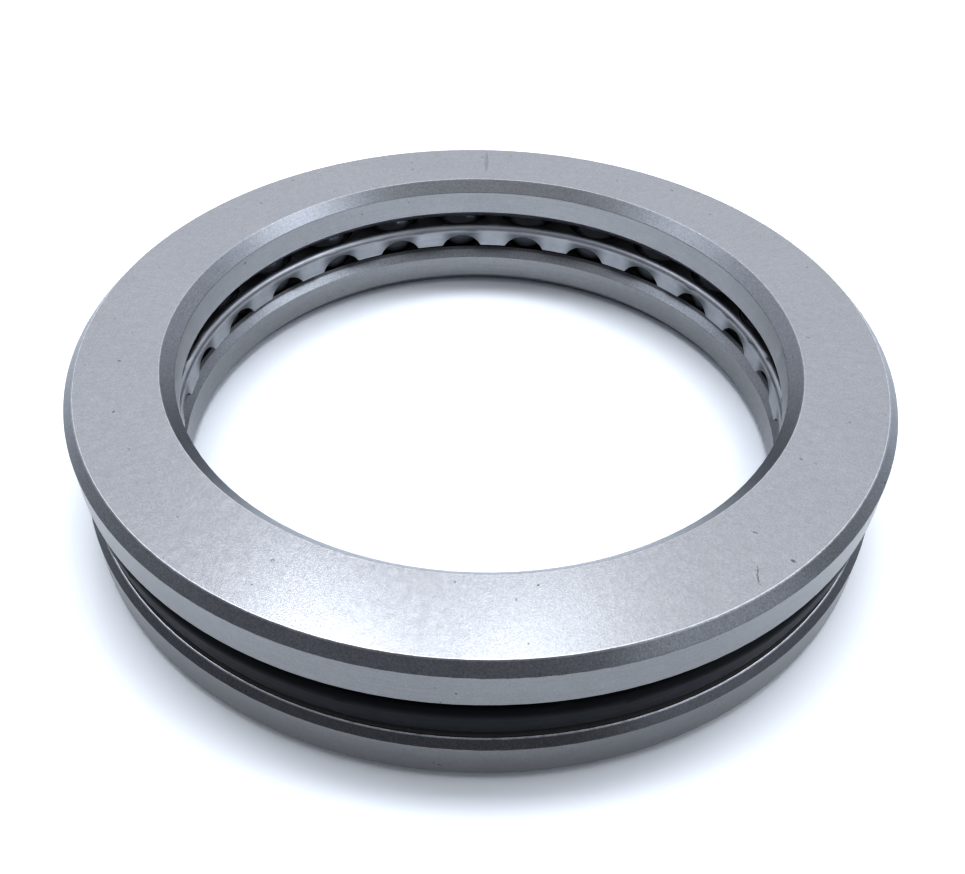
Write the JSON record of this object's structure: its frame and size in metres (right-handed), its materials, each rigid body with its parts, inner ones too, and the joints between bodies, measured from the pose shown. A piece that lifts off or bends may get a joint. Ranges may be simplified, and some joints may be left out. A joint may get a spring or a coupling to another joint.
{
  "type": "thrust ball bearing",
  "caption": "Single-direction thrust ball bearing: two grooved steel washers with balls between them, held in a pressed steel cage.",
  "frame": {"origin": "centre of the housing washer's seat face, on the bearing's axis", "axes": "+Z along the bearing's axis, from the housing washer to the shaft washer; X and Y radial, any direction"},
  "size_m": [0.12, 0.12, 0.022],
  "materials": {
    "ground_steel": "ground and lightly tumbled bearing steel, satin with a fine grain",
    "polished_steel": "lapped and polished bearing steel",
    "pressed_steel": "pressed and tumbled sheet steel, semi-bright, with an oil film"
  },
  "bodies": {
    "housing_washer": {"housing_washer": "ground_steel"},
    "shaft_washer": {"shaft_washer": "ground_steel"},
    "cage": {"cage": "pressed_steel"},
    "ball_01": {"ball_01": "polished_steel"},
    "ball_02": {"ball_02": "polished_steel"},
    "ball_03": {"ball_03": "polished_steel"},
    "ball_04": {"ball_04": "polished_steel"},
    "ball_05": {"ball_05": "polished_steel"},
    "ball_06": {"ball_06": "polished_steel"},
    "ball_07": {"ball_07": "polished_steel"},
    "ball_08": {"ball_08": "polished_steel"},
    "ball_09": {"ball_09": "polished_steel"},
    "ball_10": {"ball_10": "polished_steel"},
    "ball_11": {"ball_11": "polished_steel"},
    "ball_12": {"ball_12": "polished_steel"},
    "ball_13": {"ball_13": "polished_steel"},
    "ball_14": {"ball_14": "polished_steel"},
    "ball_15": {"ball_15": "polished_steel"},
    "ball_16": {"ball_16": "polished_steel"},
    "ball_17": {"ball_17": "polished_steel"},
    "ball_18": {"ball_18": "polished_steel"},
    "ball_19": {"ball_19": "polished_steel"},
    "ball_20": {"ball_20": "polished_steel"},
    "ball_21": {"ball_21": "polished_steel"},
    "ball_22": {"ball_22": "polished_steel"},
    "ball_23": {"ball_23": "polished_steel"},
    "ball_24": {"ball_24": "polished_steel"}
  },
  "joints": [
    {"name": "shaft_spin", "type": "hinge", "parent": "housing_washer", "child": "shaft_washer", "pos_m": [0, 0, 0.011], "axis": [0, 0, 1], "continuous": true},
    {"name": "cage_spin", "type": "hinge", "parent": "housing_washer", "child": "cage", "pos_m": [0, 0, 0.011], "axis": [0, 0, 1], "continuous": true},
    {"name": "ball_01_roll", "type": "hinge", "parent": "cage", "child": "ball_01", "pos_m": [0.05225, 0.00512, 0.011], "axis": [0.9952, 0.0976, 0], "continuous": true},
    {"name": "ball_02_roll", "type": "hinge", "parent": "cage", "child": "ball_02", "pos_m": [0.04914, 0.01847, 0.011], "axis": [0.9361, 0.3518, 0], "continuous": true},
    {"name": "ball_03_roll", "type": "hinge", "parent": "cage", "child": "ball_03", "pos_m": [0.04269, 0.03056, 0.011], "axis": [0.8131, 0.5821, 0], "continuous": true},
    {"name": "ball_04_roll", "type": "hinge", "parent": "cage", "child": "ball_04", "pos_m": [0.03332, 0.04057, 0.011], "axis": [0.6347, 0.7727, 0], "continuous": true},
    {"name": "ball_05_roll", "type": "hinge", "parent": "cage", "child": "ball_05", "pos_m": [0.02169, 0.04781, 0.011], "axis": [0.4131, 0.9107, 0], "continuous": true},
    {"name": "ball_06_roll", "type": "hinge", "parent": "cage", "child": "ball_06", "pos_m": [0.00857, 0.0518, 0.011], "axis": [0.1633, 0.9866, 0], "continuous": true},
    {"name": "ball_07_roll", "type": "hinge", "parent": "cage", "child": "ball_07", "pos_m": [-0.00512, 0.05225, 0.011], "axis": [-0.0976, 0.9952, 0], "continuous": true},
    {"name": "ball_08_roll", "type": "hinge", "parent": "cage", "child": "ball_08", "pos_m": [-0.01847, 0.04914, 0.011], "axis": [-0.3518, 0.9361, 0], "continuous": true},
    {"name": "ball_09_roll", "type": "hinge", "parent": "cage", "child": "ball_09", "pos_m": [-0.03056, 0.04269, 0.011], "axis": [-0.5821, 0.8131, 0], "continuous": true},
    {"name": "ball_10_roll", "type": "hinge", "parent": "cage", "child": "ball_10", "pos_m": [-0.04057, 0.03332, 0.011], "axis": [-0.7727, 0.6347, 0], "continuous": true},
    {"name": "ball_11_roll", "type": "hinge", "parent": "cage", "child": "ball_11", "pos_m": [-0.04781, 0.02169, 0.011], "axis": [-0.9107, 0.4131, 0], "continuous": true},
    {"name": "ball_12_roll", "type": "hinge", "parent": "cage", "child": "ball_12", "pos_m": [-0.0518, 0.00857, 0.011], "axis": [-0.9866, 0.1633, 0], "continuous": true},
    {"name": "ball_13_roll", "type": "hinge", "parent": "cage", "child": "ball_13", "pos_m": [-0.05225, -0.00512, 0.011], "axis": [-0.9952, -0.0976, 0], "continuous": true},
    {"name": "ball_14_roll", "type": "hinge", "parent": "cage", "child": "ball_14", "pos_m": [-0.04914, -0.01847, 0.011], "axis": [-0.9361, -0.3518, 0], "continuous": true},
    {"name": "ball_15_roll", "type": "hinge", "parent": "cage", "child": "ball_15", "pos_m": [-0.04269, -0.03056, 0.011], "axis": [-0.8131, -0.5821, 0], "continuous": true},
    {"name": "ball_16_roll", "type": "hinge", "parent": "cage", "child": "ball_16", "pos_m": [-0.03332, -0.04057, 0.011], "axis": [-0.6347, -0.7727, 0], "continuous": true},
    {"name": "ball_17_roll", "type": "hinge", "parent": "cage", "child": "ball_17", "pos_m": [-0.02169, -0.04781, 0.011], "axis": [-0.4131, -0.9107, 0], "continuous": true},
    {"name": "ball_18_roll", "type": "hinge", "parent": "cage", "child": "ball_18", "pos_m": [-0.00857, -0.0518, 0.011], "axis": [-0.1633, -0.9866, 0], "continuous": true},
    {"name": "ball_19_roll", "type": "hinge", "parent": "cage", "child": "ball_19", "pos_m": [0.00512, -0.05225, 0.011], "axis": [0.0976, -0.9952, 0], "continuous": true},
    {"name": "ball_20_roll", "type": "hinge", "parent": "cage", "child": "ball_20", "pos_m": [0.01847, -0.04914, 0.011], "axis": [0.3518, -0.9361, 0], "continuous": true},
    {"name": "ball_21_roll", "type": "hinge", "parent": "cage", "child": "ball_21", "pos_m": [0.03056, -0.04269, 0.011], "axis": [0.5821, -0.8131, 0], "continuous": true},
    {"name": "ball_22_roll", "type": "hinge", "parent": "cage", "child": "ball_22", "pos_m": [0.04057, -0.03332, 0.011], "axis": [0.7727, -0.6347, 0], "continuous": true},
    {"name": "ball_23_roll", "type": "hinge", "parent": "cage", "child": "ball_23", "pos_m": [0.04781, -0.02169, 0.011], "axis": [0.9107, -0.4131, 0], "continuous": true},
    {"name": "ball_24_roll", "type": "hinge", "parent": "cage", "child": "ball_24", "pos_m": [0.0518, -0.00857, 0.011], "axis": [0.9866, -0.1633, 0], "continuous": true}
  ],
  "couplings": [
    {"joint": "cage_spin", "follows": "shaft_spin", "ratio": 0.5},
    {"joint": "ball_01_roll", "follows": "shaft_spin", "ratio": -4.4095},
    {"joint": "ball_02_roll", "follows": "shaft_spin", "ratio": -4.4095},
    {"joint": "ball_03_roll", "follows": "shaft_spin", "ratio": -4.4095},
    {"joint": "ball_04_roll", "follows": "shaft_spin", "ratio": -4.4095},
    {"joint": "ball_05_roll", "follows": "shaft_spin", "ratio": -4.4095},
    {"joint": "ball_06_roll", "follows": "shaft_spin", "ratio": -4.4095},
    {"joint": "ball_07_roll", "follows": "shaft_spin", "ratio": -4.4095},
    {"joint": "ball_08_roll", "follows": "shaft_spin", "ratio": -4.4095},
    {"joint": "ball_09_roll", "follows": "shaft_spin", "ratio": -4.4095},
    {"joint": "ball_10_roll", "follows": "shaft_spin", "ratio": -4.4095},
    {"joint": "ball_11_roll", "follows": "shaft_spin", "ratio": -4.4095},
    {"joint": "ball_12_roll", "follows": "shaft_spin", "ratio": -4.4095},
    {"joint": "ball_13_roll", "follows": "shaft_spin", "ratio": -4.4095},
    {"joint": "ball_14_roll", "follows": "shaft_spin", "ratio": -4.4095},
    {"joint": "ball_15_roll", "follows": "shaft_spin", "ratio": -4.4095},
    {"joint": "ball_16_roll", "follows": "shaft_spin", "ratio": -4.4095},
    {"joint": "ball_17_roll", "follows": "shaft_spin", "ratio": -4.4095},
    {"joint": "ball_18_roll", "follows": "shaft_spin", "ratio": -4.4095},
    {"joint": "ball_19_roll", "follows": "shaft_spin", "ratio": -4.4095},
    {"joint": "ball_20_roll", "follows": "shaft_spin", "ratio": -4.4095},
    {"joint": "ball_21_roll", "follows": "shaft_spin", "ratio": -4.4095},
    {"joint": "ball_22_roll", "follows": "shaft_spin", "ratio": -4.4095},
    {"joint": "ball_23_roll", "follows": "shaft_spin", "ratio": -4.4095},
    {"joint": "ball_24_roll", "follows": "shaft_spin", "ratio": -4.4095}
  ]
}
